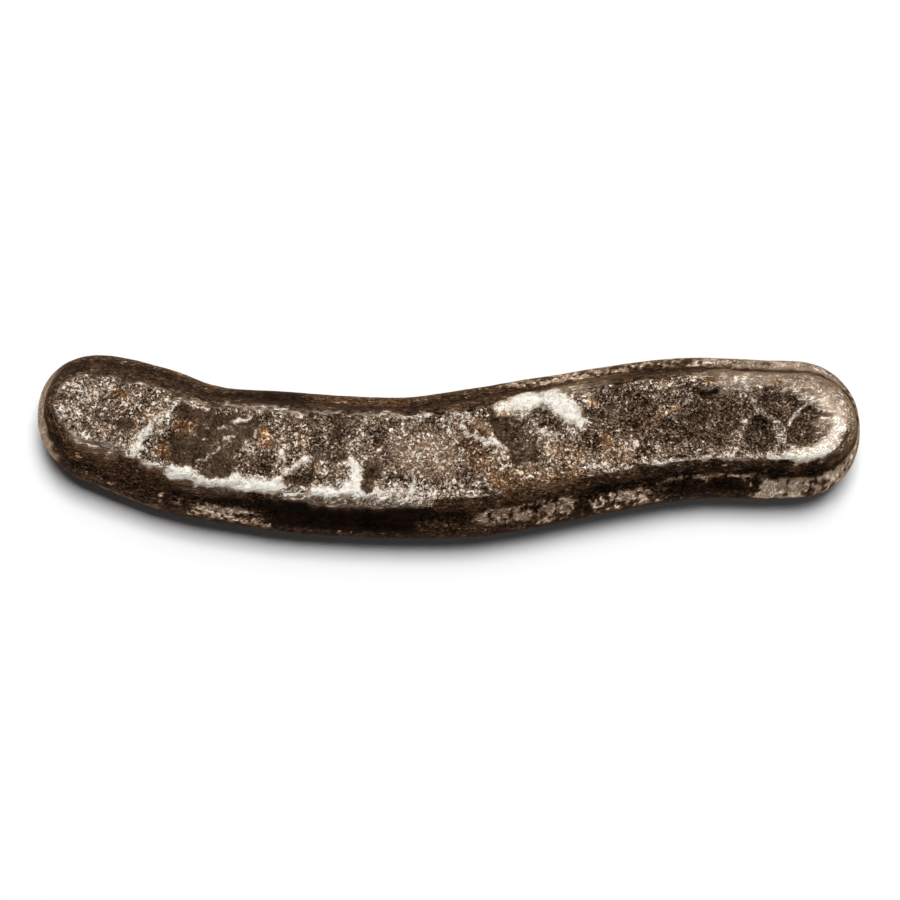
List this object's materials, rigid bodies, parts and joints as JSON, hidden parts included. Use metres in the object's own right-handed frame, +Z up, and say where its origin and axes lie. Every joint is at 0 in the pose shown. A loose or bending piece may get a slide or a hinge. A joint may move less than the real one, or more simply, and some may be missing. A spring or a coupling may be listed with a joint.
{
  "type": "silver trade ingot",
  "caption": "Long, slightly bent hand-cast silver bar with a rough pitted top face and a smooth rounded underside, used as a unit of trade silver.",
  "frame": {"origin": "under the middle of the bounding box, on the level that the foot rests on", "axes": "+X runs along the bar, towards the squarer tip; +Y across it, towards the side that is hollow in the middle of the bar's length; +Z up, out of the rough face"},
  "size_m": [0.1142, 0.026, 0.0114],
  "materials": {
    "cast_silver": "rough cast silver with brown and black tarnish"
  },
  "bodies": {
    "root": {"silver_ingot": "cast_silver"}
  },
  "joints": []
}
